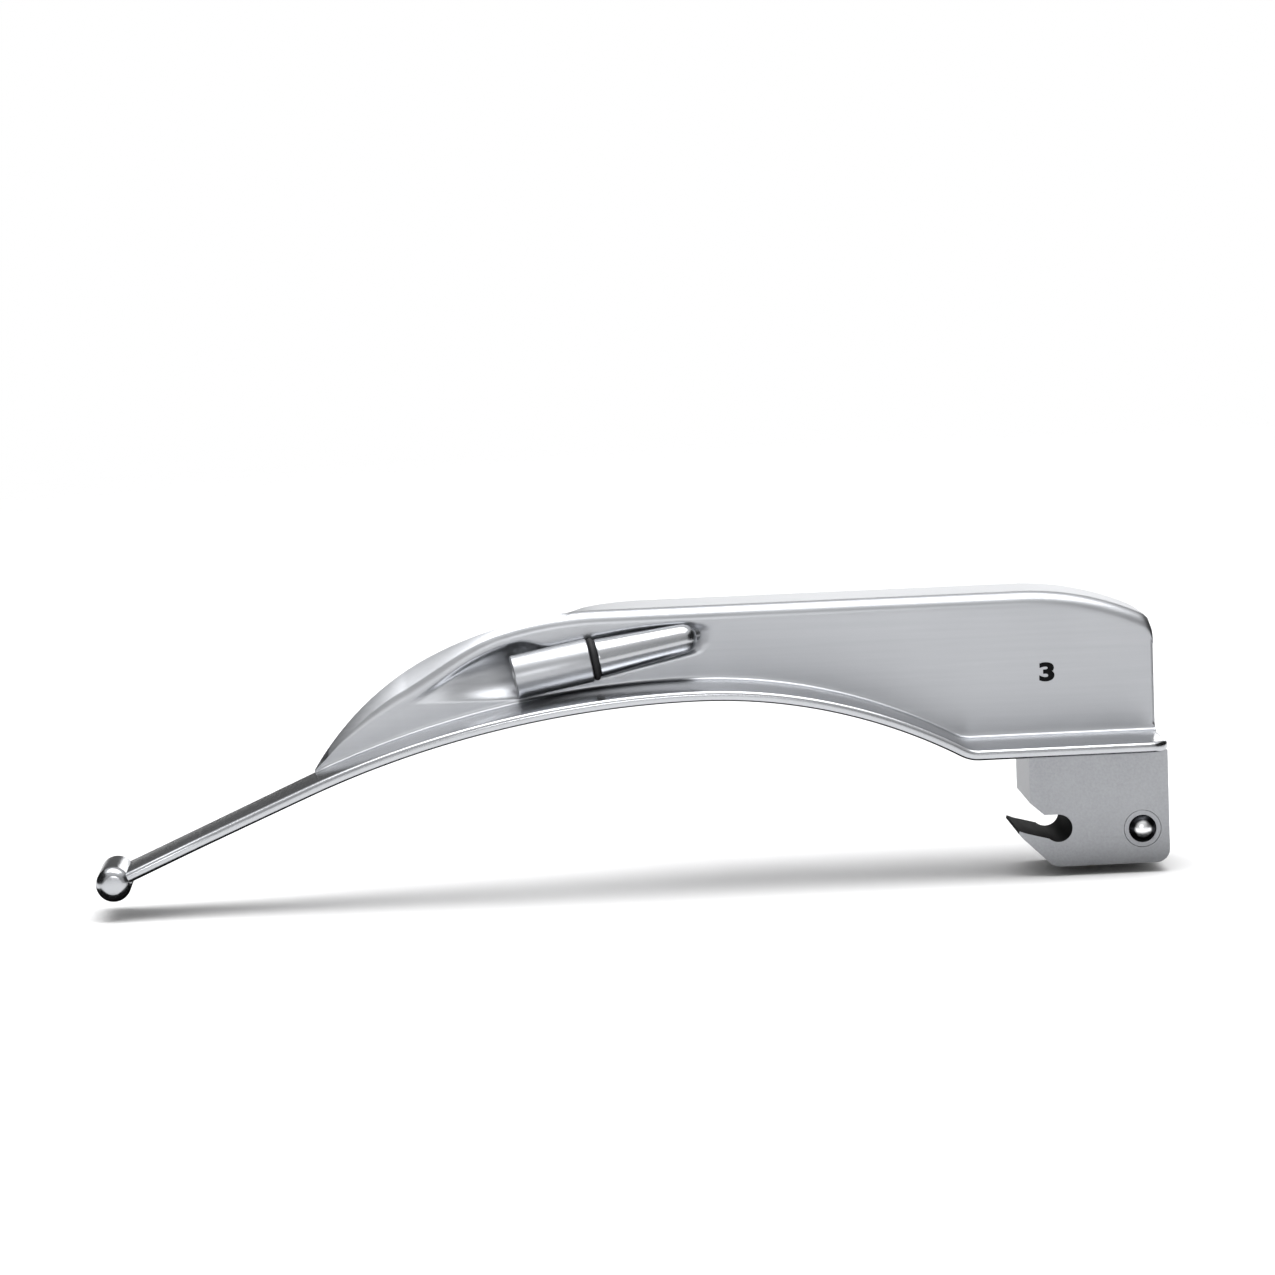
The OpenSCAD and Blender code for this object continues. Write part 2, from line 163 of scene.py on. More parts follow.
bend_centre = Vector((BEND_X, 0, HEEL_Z + BEND_R))
rear_centre = bend_centre - (BEND_R + REAR_R) * rise(HEEL_SLOPE)
crown = rear_centre + REAR_R * rise(CROWN_SLOPE)
front_centre = crown - FRONT_R * rise(CROWN_SLOPE)
front_end = front_centre + FRONT_R * rise(-TIP_SLOPE)
tip_way = Vector((-math.cos(math.radians(TIP_SLOPE)), 0, -math.sin(math.radians(TIP_SLOPE))))
bead_centre = front_end + tip_way * ((front_end.x - TIP_X) / -tip_way.x)
print("crown", [round(v, 2) for v in crown], "bead", [round(v, 2) for v in bead_centre])


# %% [markdown]
# `spin_arc` is the one step that repeats. In edit mode, the newest ring of edges stays selected
# after each Extrude or Spin, so the steps can simply follow one another.

# %% Sweep the plate
def spin_arc(centre, degrees, steps):
    bpy.ops.mesh.spin(
        steps=steps, angle=math.radians(degrees), center=centre * MM, axis=(0, 1, 0), use_auto_merge=False
    )


def extrude_run(offset, steps):
    for _ in range(steps):
        bpy.ops.mesh.extrude_edges_move(TRANSFORM_OT_translate={"value": offset * MM / steps})


deselect()
strip_middle = mm(HEEL_X, (FAR_Y + NEAR_Y) / 2, HEEL_Z)
bpy.ops.mesh.primitive_plane_add(size=1, location=strip_middle, rotation=(0, math.pi / 2, 0))
plate = bpy.context.object
plate.scale = mm(PLATE_T, FAR_Y - NEAR_Y, 1)
settle(plate)
bpy.ops.object.mode_set(mode="EDIT")
bpy.ops.mesh.select_all(action="SELECT")
bpy.ops.mesh.delete(type="ONLY_FACE")
bpy.ops.mesh.select_all(action="SELECT")
extrude_run(Vector((BEND_X - HEEL_X, 0, 0)), 6)
spin_arc(bend_centre, -HEEL_SLOPE, 10)
spin_arc(rear_centre, HEEL_SLOPE - CROWN_SLOPE, 88)
spin_arc(front_centre, CROWN_SLOPE + TIP_SLOPE, 104)
extrude_run(bead_centre - front_end + tip_way * 0.2, 16)
bpy.ops.mesh.select_all(action="SELECT")
bpy.ops.mesh.remove_doubles(threshold=0.01 * MM)
close_ends()
bpy.ops.object.mode_set(mode="OBJECT")
print("plate swept:", len(plate.data.vertices), "vertices")


# %% [markdown]
# The strip is not the same width all along: it is waisted a little before the tip, and its near
# corner at the heel is rounded in plan. The corner is an edge bevel. The waist is a smooth function
# of X, so each side of the strip is moved by that function, which keeps every section square.
# The last step rounds the rim all the way round. The rim is the brightest line on the blade, so it
# gets more segments than an ordinary edge.

# %% Waist, corner and rim
def ease(x, start, end):
    """0 before start, 1 after end, and a smooth change between."""
    t = min(max((x - start) / (end - start), 0), 1)
    return t * t * (3 - 2 * t)


def plate_far(x):
    return FAR_Y - 1.2 * ease(-x, 78, 114)


def plate_near(x):
    return NEAR_Y + 2.1 * ease(-x, 55, 104) - 0.6 * ease(-x, 104, 115)


def select_edges(piece, chosen):
    """Selects the edges whose two ends, in millimetres, pass the test."""
    take_one(piece)
    bpy.ops.object.mode_set(mode="EDIT")
    bpy.ops.mesh.select_all(action="DESELECT")
    bpy.ops.mesh.select_mode(type="EDGE")
    bpy.ops.object.mode_set(mode="OBJECT")
    points = [v.co / MM for v in piece.data.vertices]
    count = 0
    for e in piece.data.edges:
        e.select = chosen(points[e.vertices[0]], points[e.vertices[1]])
        count += e.select
    bpy.ops.object.mode_set(mode="EDIT")
    return count


for v in plate.data.vertices:
    x, y = v.co.x / MM, v.co.y / MM
    v.co.y = (plate_near(x) if y < 0 else plate_far(x)) * MM
select_edges(plate, lambda a, b: min(a.x, b.x) > HEEL_X - 0.01 and max(a.y, b.y) < 0)
bpy.ops.mesh.bevel(offset=2.4 * MM, segments=7, affect="EDGES")
bpy.ops.object.mode_set(mode="OBJECT")
bevel(plate, 0.5, segments=5, angle=50)
smooth(plate, 40)
finish_piece(plate, "tongue_plate", "blade", "polished_steel", "spatula")


# %% [markdown]
# ## Turned pieces
#
# The bead, the lamp, its socket, the seal, the balls and the contact are all turned on a lathe, or
# could be. `lathe` works the same way: a single vertex is extruded from point to point to draw half
# a section, and Spin carries it round. Points are given as (radius, height).
#
# `arc` gives the points of a rounded corner, so that no turned edge is left perfectly sharp.

# %% A lathe
def arc(radius, height, r, start, end, steps=5):
    return [
        (radius + r * math.cos(math.radians(a)), height + r * math.sin(math.radians(a)))
        for a in (start + (end - start) * i / steps for i in range(steps + 1))
    ]


def lathe(profile, place=None, steps=64):
    deselect()
    bpy.ops.mesh.primitive_plane_add(size=MM)
    turned = bpy.context.object
    bpy.ops.object.mode_set(mode="EDIT")
    bpy.ops.mesh.select_mode(type="VERT")
    bpy.ops.mesh.select_all(action="SELECT")
    bpy.ops.mesh.merge(type="CENTER")
    r0, h0 = profile[0]
    bpy.ops.transform.translate(value=mm(r0, 0, h0))
    for r1, h1 in profile[1:]:
        bpy.ops.mesh.extrude_vertices_move(TRANSFORM_OT_translate={"value": mm(r1 - r0, 0, h1 - h0)})
        r0, h0 = r1, h1
    bpy.ops.mesh.select_all(action="SELECT")
    bpy.ops.mesh.spin(steps=steps, angle=2 * math.pi, center=(0, 0, 0), axis=(0, 0, 1))
    bpy.ops.mesh.select_all(action="SELECT")
    bpy.ops.mesh.remove_doubles(threshold=0.002 * MM)
    bpy.ops.mesh.normals_make_consistent(inside=False)
    bpy.ops.object.mode_set(mode="OBJECT")
    if place is not None:
        turned.matrix_world = place
        settle(turned)
    smooth(turned, 40)
    return turned


# %% [markdown]
# The bead across the tip is a short bar. It keeps the thin plate from digging in, so both its ends
# are domed. Its axis lies along Y.

# %% Tip bead
along_y = Matrix.Rotation(math.radians(90), 4, "X")
BEAD_HALF, BEAD_DOME, BEAD_Y = 5.3, 1.3, -2.1
bead = lathe(
    [(0, -BEAD_HALF)]
    + arc(BEAD_R - BEAD_DOME, BEAD_DOME - BEAD_HALF, BEAD_DOME, -80, 0, 12)
    + arc(BEAD_R - BEAD_DOME, BEAD_HALF - BEAD_DOME, BEAD_DOME, 0, 80, 12)
    + [(0, BEAD_HALF)],
    Matrix.Translation(mm(bead_centre.x, BEAD_Y, bead_centre.z)) @ along_y,
    steps=56,
)
finish_piece(bead, "tip_bar", "blade", "polished_steel", "tip_bead")


# %% [markdown]
# ## The web and the flange
#
# This is one pressed sheet. It rises from the plate with a small brazed fillet, stands up as the
# web, folds over at the top and reaches away as the flange. In front of the lamp the press has
# pushed a long pocket into it, which fades out towards the tip.
#
# Extruding and bending can't make a pocket that fades, so this piece is made another way: a flat
# grid is added, each of its points is moved to its place by a function of how far it lies along
# and up the sheet, and Solidify gives the sheet its thickness. The function is the press tool.
#
# First, the lines that bound the sheet: the plate's top face below, and the fold's crest above.

# %% The sheet's lower and upper lines
FLANGE_Z, FLANGE_Y, SHEET_T = 28.1, 12.9, 1.2
half_t = PLATE_T / 2


def plate_top(x):
    if x >= bend_centre.x:
        return HEEL_Z + half_t
    if x >= bend_centre.x - (BEND_R - half_t) * math.sin(math.radians(HEEL_SLOPE)):
        return bend_centre.z - math.sqrt((BEND_R - half_t) ** 2 - (x - bend_centre.x) ** 2)
    centre, r = (rear_centre, REAR_R) if x > crown.x else (front_centre, FRONT_R)
    return centre.z + math.sqrt((r + half_t) ** 2 - (x - centre.x) ** 2)


# Each arc is its centre's X and Z and its radius. The next arc starts where it has fallen this far.
FRONT_FALL, REAR_FALL = math.radians(31), math.radians(25)
FRONT_TOP = (-54.5, FLANGE_Z - 47, 47)
FOOT_TOP = (-54.5 - 11 * math.sin(FRONT_FALL), FLANGE_Z - 47 + 11 * math.cos(FRONT_FALL), 36)
REAR_TOP = (-2.46, FLANGE_Z - 35, 35)
CORNER = (REAR_TOP[0] + 32.8 * math.sin(REAR_FALL), REAR_TOP[1] + 32.8 * math.cos(REAR_FALL), 2.2)


def crest(x):
    if x < FRONT_TOP[0] - FRONT_TOP[2] * math.sin(FRONT_FALL):
        cx, cz, r = FOOT_TOP
    elif x < FRONT_TOP[0]:
        cx, cz, r = FRONT_TOP
    elif x < REAR_TOP[0]:
        return FLANGE_Z
    elif x < REAR_TOP[0] + REAR_TOP[2] * math.sin(REAR_FALL):
        cx, cz, r = REAR_TOP
    else:
        cx, cz, r = CORNER
    return cz + math.sqrt(max(r * r - (x - cx) ** 2, 0))


REACH_START, REACH_FULL, RIM_REACH, PLAN_R = -60, -49, 0.75, 3


def flange_reach(x):
    """How far the sheet reaches from the web's near face at its top."""
    if x < REACH_START:
        return RIM_REACH * ease(x, -89, -80)
    full = FLANGE_Y - WEB_Y
    if x < REACH_FULL:
        t = (x - REACH_START) / (REACH_FULL - REACH_START)
        return RIM_REACH + (full - RIM_REACH) * math.sin(math.pi / 2 * t) * ease(t, -0.02, 0.34)
    if x > HEEL_X - PLAN_R:
        return full - PLAN_R + math.sqrt(max(PLAN_R**2 - (x - HEEL_X + PLAN_R) ** 2, 0))
    return full


for x in (-88, -75, -60, -44, 0, 12):
    print(f"at x {x}: plate {plate_top(x):.2f}, crest {crest(x):.2f}, reach {flange_reach(x):.2f}")


# %% [markdown]
# The lamp's axis sets where the pocket goes. It leans forwards and down by 10 degrees, and turns 3
# degrees out of the web. `LAMP` is its place as a matrix, with +Z pointing forwards along the lamp.
#
# `sheet_depth` is the deeper of two surfaces, blended so that their meeting is a soft edge, as
# pressed metal has. One is the flat web. The other is a groove round the lamp's line: shallow
# behind the socket, close round the sleeve, and opening into a long cone in front of it.

# %% The lamp's axis and the pocket
LAMP_SEAT = Vector((-55.2, 1.1, 22.5))
LAMP = (
    Matrix.Translation(mm(*LAMP_SEAT))
    @ Matrix.Rotation(math.radians(3), 4, "Z")
    @ Matrix.Rotation(math.radians(-100), 4, "Y")
)
LEAN = math.radians(10)


def web_depth(x, z):
    """The Y of the plain web, which is very slightly dished, in millimetres."""
    return WEB_Y + 0.22 * math.sin(math.pi * ease(x, -82, 12)) * ease(z, 10, 17) * ease(-z, -28, -22)


def sheet_depth(x, z):
    """The Y of the web's near face at this place, in millimetres."""
    dx, dz = x - LAMP_SEAT.x, z - LAMP_SEAT.z
    ahead = -dx * math.cos(LEAN) - dz * math.sin(LEAN)
    above = dz * math.cos(LEAN) - dx * math.sin(LEAN)
    flat = web_depth(x, z)
    if not -14.5 < ahead < 25:
        return flat
    if ahead < 0:
        # behind the seal: a shallow seat that follows the socket's taper and ends in a round
        width = (2.95 + 0.045 * ahead) * math.sqrt(ease(ahead, -14.4, -11.2))
        deep = min(LAMP_SEAT.y - 0.05 * ahead + math.sqrt(max(width * width - above * above, 0)), 3.3)
    else:
        # in front: close round the sleeve, then wider, then fading out towards the tip
        opening = ease(ahead, 5, 9.5)
        width = 2.85 + 0.85 * opening - 2.5 * min(max((ahead - 10) / 14, 0), 1)
        round_part = math.sqrt(max(width * width - (above - 0.6 * opening) ** 2, 0))
        deep = LAMP_SEAT.y + round_part * (1 - 0.3 * ease(ahead, 14, 24))
    soft = 0.4 + 0.5 * ease(ahead, 6, 14)
    return (flat + deep + math.sqrt((flat - deep) ** 2 + soft * soft)) / 2 - soft * soft / 8


# %% [markdown]
# Now the press itself. Along the sheet the stations crowd together at the pocket, where the shape
# changes fastest. Up the sheet there are three stretches: the fillet, the upright web, and the fold
# with the flange. The pocket fades out just below the fold, so that the rim runs past it unbroken.
#
# The web's upright rear edge is rounded over. The bevel is told where to go by a weight on each
# edge, because a bevel on the whole border would be held back by its smallest faces, at the foot.

# %% Press the sheet
FOOT_X = -90.4
STRETCHES = [(0.0, FOOT_X), (0.1, -82.5), (0.62, -52.0), (0.9, 5.0), (1.0, HEEL_X)]
FILLET_TOP, WEB_TOP = 0.1, 0.62


def station(u):
    for (u0, x0), (u1, x1) in zip(STRETCHES, STRETCHES[1:]):
        if u <= u1:
            return x0 + (x1 - x0) * (u - u0) / (u1 - u0)


def pressed(u, v):
    x = station(u)
    foot, top = plate_top(x), crest(x)
    height = max(top - foot, 0.02)
    fillet = min(0.5, 0.3 * height)
    fold = min(1.75 + 1.6 * ease(-x, 67, 78), 0.45 * height)
    if v <= FILLET_TOP:
        a = math.pi / 2 * v / FILLET_TOP
        z = foot - 0.05 + fillet * (1 - math.cos(a))
        return x, sheet_depth(x, foot + fillet) - fillet * (1 - math.sin(a)), z
    low, high = foot - 0.05 + fillet, top - fold
    if v <= WEB_TOP:
        z = low + (high - low) * (v - FILLET_TOP) / (WEB_TOP - FILLET_TOP)
        plain = web_depth(x, z)
        return x, plain + (sheet_depth(x, z) - plain) * ease(high - z, 0, 1.1), z
    near = web_depth(x, high)
    reach = flange_reach(x) - (near - WEB_Y)
    q = (v - WEB_TOP) / (1 - WEB_TOP)
    share = 0.5 * q if q < 0.5 else 0.25 + 0.45 * (q - 0.5) / 0.46
    if q > 0.97:
        share = 1
    bent = math.acos(max(1 - reach / fold, 0)) if fold > 0.01 else 0
    length = fold * bent + max(reach - fold, 0)
    run = share * length
    if run < fold * bent:
        a = run / fold
        return x, near + fold * (1 - math.cos(a)), high + fold * math.sin(a)
    return x, near + fold + run - fold * bent, top


deselect()
bpy.ops.mesh.primitive_grid_add(x_subdivisions=210, y_subdivisions=64, size=1)
sheet = bpy.context.object
for v in sheet.data.vertices:
    v.co = Vector(pressed(v.co.x + 0.5, v.co.y + 0.5)) * MM
take_one(sheet)
wall = sheet.modifiers.new("thickness", "SOLIDIFY")
wall.thickness = SHEET_T * MM
wall.offset = -1
bpy.ops.object.modifier_apply(modifier=wall.name)
weights = sheet.data.attributes.new("bevel_weight_edge", "FLOAT", "EDGE")
normals_beside = {}
for face in sheet.data.polygons:
    for key in face.edge_keys:
        normals_beside.setdefault(key, []).append(face.normal)
for edge in sheet.data.edges:
    first, second = normals_beside[tuple(sorted(edge.vertices))]
    x, _, z = sheet.data.vertices[edge.vertices[0]].co / MM
    is_sharp = first.angle(second, 0) > math.radians(62)
    if is_sharp and x > HEEL_X - 0.01 and plate_top(x) + 0.6 < z < CORNER[1] - 2:
        weights.data[edge.index].value = 1
rounding = sheet.modifiers.new("rounding", "BEVEL")
rounding.width = 0.45 * MM
rounding.segments = 5
rounding.limit_method = "WEIGHT"
bpy.ops.object.modifier_apply(modifier=rounding.name)
smooth(sheet, 50)
finish_piece(sheet, "pressed_sheet", "blade", "satin_steel", "web_and_flange")


# %% [markdown]
# ## The heel
#
# The heel is a milled block with an open slot for the handle's pin, and bores for the balls and the
# contact. Its shape in the measured model is already right, so a copy is cleaned and its edges are
# broken. Loaded meshes are loose triangles: they are merged first, and the flat faces are dissolved
# back into single faces, because a bevel needs real edges to follow.
#
# The walls of the slot are picked out by place, to be painted black as the shade inside the slot.

# %% Heel block
def broken_edges(node, width, segments=3, angle=35):
    piece = nodes[node].copy()
    piece.data = nodes[node].data.copy()
    piece.parent = None
    for key in list(piece.keys()):
        del piece[key]
    bpy.context.scene.collection.objects.link(piece)
    take_one(piece)
    bpy.ops.object.mode_set(mode="EDIT")
    bpy.ops.mesh.select_all(action="SELECT")
    bpy.ops.mesh.remove_doubles(threshold=0.002 * MM)
    bpy.ops.mesh.dissolve_limited(angle_limit=math.radians(0.5))
    bpy.ops.object.mode_set(mode="OBJECT")
    piece.data.materials.clear()
    smooth(piece, 30)
    bevel(piece, width, segments, angle, harden=True)
    return piece


heel = broken_edges("heel_block", 0.22, segments=3)
finish_piece(heel, "hook_heel", "blade", "satin_steel", "heel_block")


def in_slot(face):
    """The walls of the pin's slot, but not the heel's sides: these are painted dark as shade."""
    x, z = face.center.x / MM, face.center.z / MM
    return abs(face.normal.y) < 0.9 and -5.2 < x < 1.8 and -1.9 < z < 3.1 and not (z > 2 and x < -3.2)


# These faces get the painted shade of the slot.
shaded_slot_walls = [face.index for face in heel.data.polygons if in_slot(face)]
print("slot walls:", len(shaded_slot_walls), "faces")


# %% [markdown]
# ## Balls, rings and contact
#
# Each ball sits behind a ring with a coned bore, which is staked into the heel's side and keeps the
# spring from pushing the ball out. A ball and a ring are turned for each side, each pointing out of its
# own side.

# %% Detent balls and their rings
BALL, BALL_R, HEEL_HALF_W = Vector((10.3, 5.1, -0.5)), 2, 6.3
for side, name in ((-1, "near"), (1, "far")):
    out = Matrix.Rotation(math.radians(-90 * side), 4, "X")
    ball = lathe(
        [(0, -BALL_R)] + arc(0, 0, BALL_R, -86, 86, 30) + [(0, BALL_R)],
        Matrix.Translation(mm(BALL.x, side * BALL.y, BALL.z)) @ out,
        steps=48,
    )
    finish_piece(ball, f"ball_{name}", f"{name}_ball", "polished_steel", f"detent_ball_{name}")
    ring = lathe(
        [(2.04, -0.78), (1.66, -0.07), (1.70, 0.0)]
        + arc(2.17, -0.1, 0.12, 60, 0, 3)
        + [(2.29, -0.78), (2.04, -0.78)],
        Matrix.Translation(mm(BALL.x, side * HEEL_HALF_W, BALL.z)) @ out,
    )
    finish_piece(ring, f"staked_ring_{name}", "blade", "satin_steel", f"ball_ring_{name}")

# %% [markdown]
# One coil spring pushes both balls out. When a ball is pressed in, the coil shortens on its side
# only, so the coil is wound as two halves that meet in the middle, one behind each ball. The Screw
# modifier carries the wire's round section along and about the bore.

# %% Spring
COIL_R, WIRE_R, HALF_TURNS, HALF_LENGTH = 1.35, 0.2, 3.5, 3.3
for side, name in ((-1, "near"), (1, "far")):
    deselect()
    bpy.ops.mesh.primitive_circle_add(
        vertices=12, radius=WIRE_R * MM, location=mm(COIL_R, 0, 0), rotation=(math.pi / 2, 0, 0)
    )
    coil = bpy.context.object
    settle(coil)
    winding = coil.modifiers.new("winding", "SCREW")
    winding.axis = "Z"
    winding.angle = 2 * math.pi * HALF_TURNS
    winding.screw_offset = HALF_LENGTH * MM
    winding.steps = winding.render_steps = 112
    bpy.ops.object.modifier_apply(modifier=winding.name)
    bpy.ops.object.mode_set(mode="EDIT")
    bpy.ops.mesh.select_mode(type="EDGE")
    close_ends()
    bpy.ops.object.mode_set(mode="OBJECT")
    out = Matrix.Rotation(math.radians(-90 * side), 4, "X")
    coil.matrix_world = Matrix.Translation(mm(BALL.x, 0, BALL.z)) @ out
    settle(coil)
    smooth(coil, 50)
    finish_piece(coil, f"spring_half_{name}", "blade", "satin_steel", "detent_spring")
    mm(BALL.x, 0, BALL.z)
    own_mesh(coil)

# %% [markdown]
# The contact under the heel is a domed pin in an insulating bush. Only the dome and a thin ring of
# the bush show, but both are turned whole, because the part is seen from below as well.

# %% Contact and bush
CONTACT_X, HEEL_LOW = 4.6, -4.75
standing = Matrix.Translation(mm(CONTACT_X, 0, 0))
pin = lathe(
    [(0, 2.9), (0.55, 2.9), (0.6, 2.8), (0.6, 0.4), (1.1, 0.4)]
    + [
        (1.1 * math.cos(math.radians(a)), HEEL_LOW - 0.45 - 0.75 * math.sin(math.radians(a)))
        for a in range(0, 90, 9)
    ]
    + [(0, HEEL_LOW - 1.2)],
    standing,
    steps=48,
)
finish_piece(pin, "contact_dome", "blade", "contact_brass", "contact_pin")
bush = lathe(
    [(0.61, 2.2), (0.61, 0.42), (1.12, 0.42), (1.12, HEEL_LOW + 0.06), (1.18, HEEL_LOW)]
    + [(1.78, HEEL_LOW), (1.84, HEEL_LOW + 0.06), (1.84, 2.2), (0.61, 2.2)],
    standing,
    steps=48,
)
finish_piece(bush, "contact_bush", "blade", "black_plastic", "contact_insulator")


# %% [markdown]
# ## Lamp and socket
#
# The socket is a tapered tube with a rounded end, brazed into the web at a slant so that it sinks
# into it. The lamp's sleeve is a little fatter. A black rubber ring is trapped between the two.
# All of these are turned about the lamp's own axis.

# %% Socket and seal
socket = lathe(
    [(0, -12.55)]
    + arc(0, -10.75, 1.8, -78, -6, 9)
    + [(1.845, -10.4), (2.36, -0.25)]
    + arc(2.2, -0.16, 0.17, 0, 90, 3)
    + [(1.86, 0), (1.81, -0.05), (1.81, -4.8), (1.3, -4.8), (1.3, -8.4), (0, -8.4)],
    LAMP,
)
finish_piece(socket, "socket_tube", "blade", "polished_steel", "lamp_socket")
seal = lathe(
    [(1.79, 0.03), (2.3, 0.03)]
    + arc(2.28, 0.45, 0.36, -75, 75, 8)
    + [(2.3, 0.87), (1.79, 0.87), (1.79, 0.03)],
    LAMP,
)
finish_piece(seal, "rubber_seal", "seal", "black_rubber", "seal_ring")


# %% [markdown]
# The lamp unscrews, so its thread shows once it is out. A thread is a small triangle carried round
# and along at the same time, which is what the Screw modifier does. The thread is then joined to
# the turned sleeve, so that the two are one piece, as on the real lamp.

# %% Sleeve with its thread
THREAD_BACK, THREAD_TURNS, THREAD_PITCH, SPIGOT_R = -2.9, 4.6, 0.7, 1.6
sleeve = lathe(
    [(1.0, -3.3), (1.4, -3.3), (1.5, -3.15), (1.5, 0.9), (2.45, 0.9)]
    + arc(2.5, 1.1, 0.2, -90, 0, 4)
    + arc(2.52, 10.3, 0.18, 0, 90, 4)
    + [(2.42, 10.48), (2.3, 10.3), (2.3, 3.0), (1.0, 3.0), (1.0, -3.3)],
    LAMP,
    steps=72,
)
deselect()
bpy.ops.mesh.primitive_plane_add(
    size=1, location=mm(SPIGOT_R, 0, THREAD_BACK), rotation=(math.pi / 2, 0, 0)
)
thread = bpy.context.object
thread.scale = mm(0.3, 0.36, 1)
settle(thread)
bpy.ops.object.mode_set(mode="EDIT")
bpy.ops.mesh.select_all(action="SELECT")
bpy.ops.mesh.delete(type="ONLY_FACE")
bpy.ops.object.mode_set(mode="OBJECT")
for v in thread.data.vertices:
    if v.co.x > SPIGOT_R * MM:
        v.co.z = (v.co.z - THREAD_BACK * MM) * 0.25 + THREAD_BACK * MM
turning = thread.modifiers.new("turning", "SCREW")
turning.axis = "Z"
turning.angle = 2 * math.pi * THREAD_TURNS
turning.screw_offset = THREAD_PITCH * THREAD_TURNS * MM
turning.steps = turning.render_steps = 170
turning.use_merge_vertices = False
take_one(thread)
bpy.ops.object.modifier_apply(modifier=turning.name)
bpy.ops.object.mode_set(mode="EDIT")
close_ends()
bpy.ops.object.mode_set(mode="OBJECT")
thread.matrix_world = LAMP
settle(thread)
take_one(sleeve)
thread.select_set(True)
bpy.ops.object.join()
smooth(sleeve, 40)
finish_piece(sleeve, "lamp_sleeve", "lamp", "satin_steel", "lamp_shell")


# %% [markdown]
# ## The wire's tube
#
# A thin tube carries the wire down the far side of the web, out of the way. It is a curve with a
# round bevel, which bends as evenly as a real tube does, turned into a mesh with open ends.

# %% Conduit
def lamp_point(ahead):
    return (LAMP @ Vector(mm(0, 0, ahead))) / MM


TUBE_Y = 4.95
route = [
    lamp_point(-9.2), lamp_point(-11) + Vector((0, 1.3, 0)), (-41.3, 4.75, 24.75),
    (-36, TUBE_Y, 24.8), (-27, TUBE_Y, 23.6), (-17, TUBE_Y, 20.8), (-8, TUBE_Y, 17.2),
    (-1, TUBE_Y, 14), (3.4, TUBE_Y, 11.2), (CONTACT_X, TUBE_Y, 8.5), (CONTACT_X, TUBE_Y, 6.9),
]
bent = bpy.data.curves.new("conduit", "CURVE")
bent.dimensions = "3D"
bent.bevel_depth = 1.0 * MM
bent.bevel_resolution = 6
bent.resolution_u = 8
line = bent.splines.new("BEZIER")
line.bezier_points.add(len(route) - 1)
for point, place in zip(line.bezier_points, route):
    point.co = mm(*place)
    point.handle_left_type = point.handle_right_type = "AUTO"
conduit = bpy.data.objects.new("conduit", bent)
bpy.context.scene.collection.objects.link(conduit)
take_one(conduit)
bpy.ops.object.convert(target="MESH")
conduit = bpy.context.object
wall = conduit.modifiers.new("wall", "SOLIDIFY")
wall.thickness = 0.28 * MM
wall.offset = -1
bpy.ops.object.modifier_apply(modifier=wall.name)
smooth(conduit, 40)
finish_piece(conduit, "conduit", "blade", "satin_steel", "conduit_tube")


# %% [markdown]
# ## The size mark
#
# Blades are numbered by length, and this one is a 3. The figure is printed in black near the heel.
# Blender's own typeface is light, so the outline is thickened with Offset, and the figure is made
# a very thin solid before it is stood up against the web.

# %% Size mark
MARK_W, MARK_H, MARK_X, MARK_Z = 1.9, 2.4, 0.3, 18.1
deselect()
bpy.ops.object.text_add()
mark = bpy.context.object
mark.data.body = "3"
mark.data.align_x, mark.data.align_y = "CENTER", "CENTER"
mark.data.size = 3.3 * MM
mark.data.offset = 0.14 * MM
mark.data.extrude = 0.03 * MM
mark.data.resolution_u = 6
bpy.ops.object.convert(target="MESH")
mark = bpy.context.object
size = mark.dimensions
mark.scale = (MARK_W * MM / size.x, MARK_H * MM / size.y, 1)
settle(mark)
for axis in (0, 1):
    reached = [v.co[axis] for v in mark.data.vertices]
    middle = (max(reached) + min(reached)) / 2
    for v in mark.data.vertices:
        v.co[axis] -= middle
on_web = mm(MARK_X, sheet_depth(MARK_X, MARK_Z) - 0.005, MARK_Z)
mark.matrix_world = Matrix.Translation(on_web) @ along_y
settle(mark)
mark.name = mark.data.name = "size_mark"
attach(mark, "blade")
print("size mark:", len(mark.data.polygons), "faces")


# %% [markdown]
# ## Finishes
#
# The steel is one metal in three finishes: polished on the plate and the round parts, satin on the
# pressed sheet, and fine blasted grain on the heel. What separates them is roughness and the size
# and direction of the marks, not the colour.
#
# A finish is built from nodes. `Wire` holds one node socket and turns arithmetic on it into Math
# nodes, so that a pattern can be written as a formula. `Pattern` adds any other node by its name,
# and `Finish` is a pattern that is connected to a material's shader.

# %% Shader maths as arithmetic
class Wire:
    def __init__(self, pattern, socket):
        self.pattern, self.socket = pattern, socket

    def math(self, operation, first, second):
        return self.pattern.node("Math", {"operation": operation}, {0: first, 1: second})

    def __add__(self, other):
        return self.math("ADD", self, other)

    __radd__ = __add__

    def __rsub__(self, other):
        return self.math("SUBTRACT", other, self)

    def __mul__(self, other):
        return self.math("MULTIPLY", self, other)

    __rmul__ = __mul__


